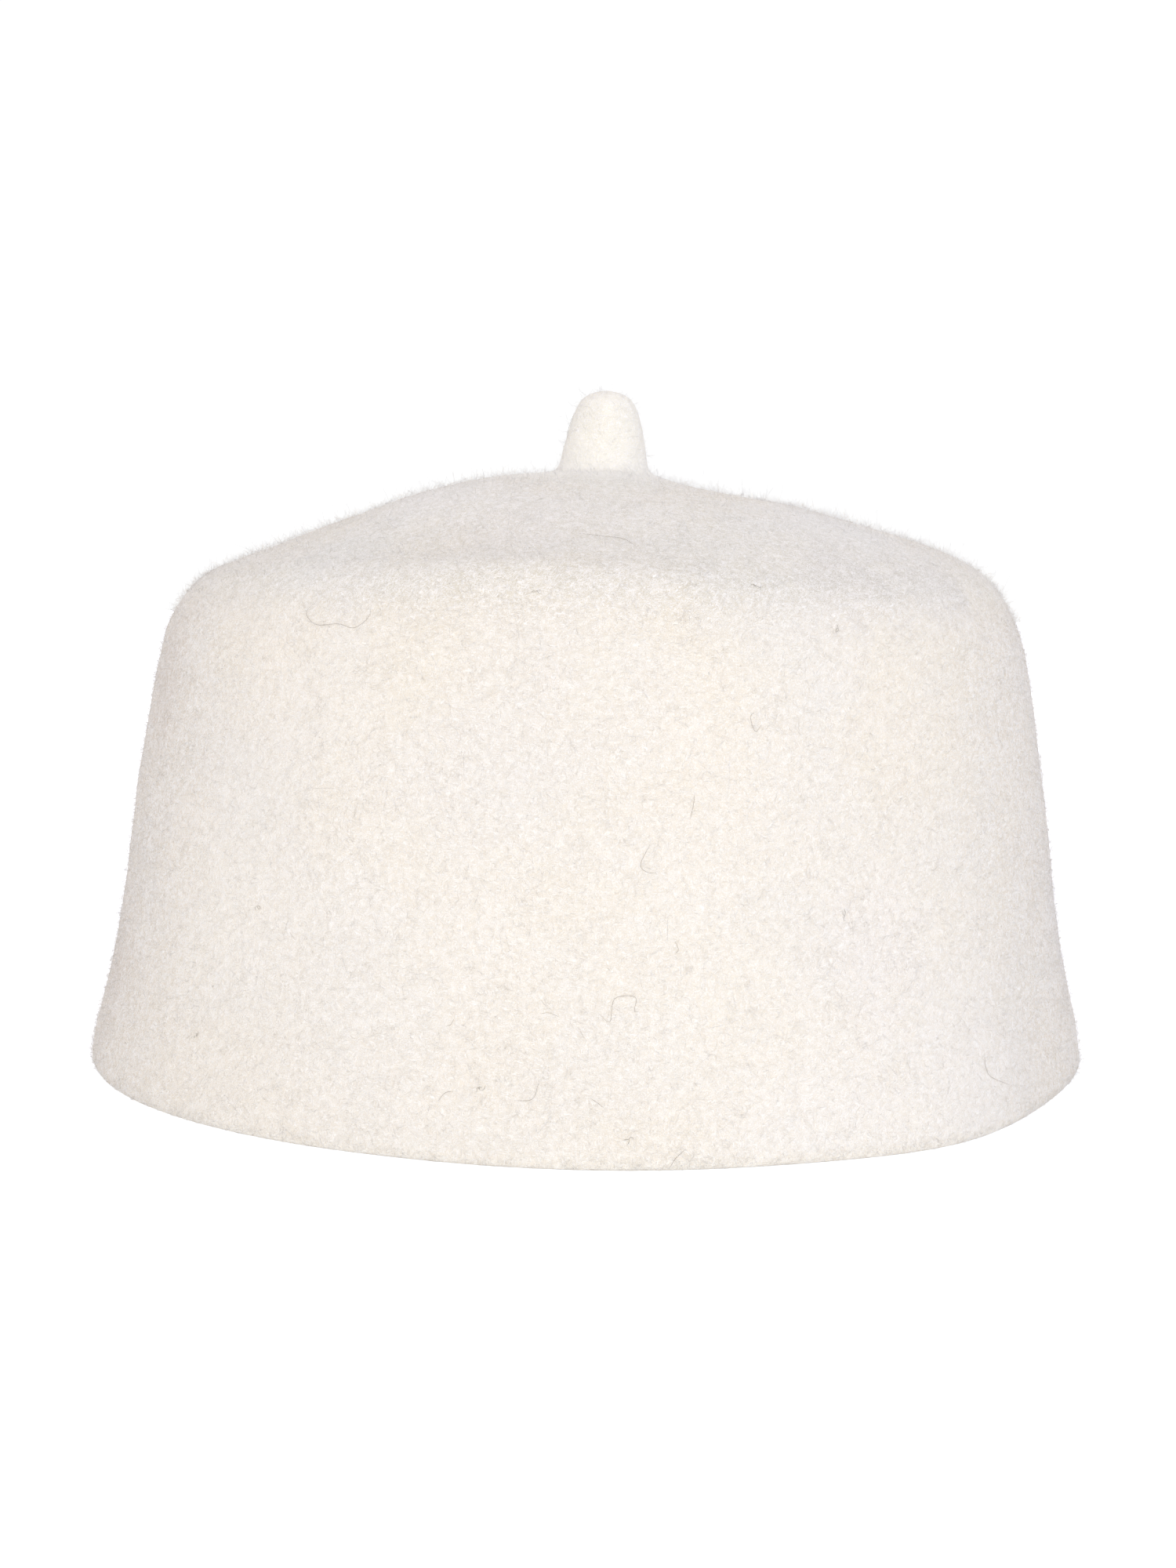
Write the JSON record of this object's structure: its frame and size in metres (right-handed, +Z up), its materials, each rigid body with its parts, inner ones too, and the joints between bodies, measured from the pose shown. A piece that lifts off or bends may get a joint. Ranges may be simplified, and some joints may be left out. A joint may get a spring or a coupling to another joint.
{
  "type": "felt cap",
  "caption": "Brimless wool felt cap in one piece: flared upright wall, rounded shoulder, low uneven crown and a short solid stub on top. Hollow and open below.",
  "frame": {"origin": "on the surface that the rim stands on, under the middle of the cap's box", "axes": "+Z up through the crown, -Y towards the front, +X towards the cap's right as it is seen from the front"},
  "size_m": [0.1948, 0.2028, 0.1294],
  "materials": {
    "wool_felt": "matte cream-white felted wool with a fine nap"
  },
  "bodies": {
    "root": {"felt_cap": "wool_felt"}
  },
  "joints": []
}
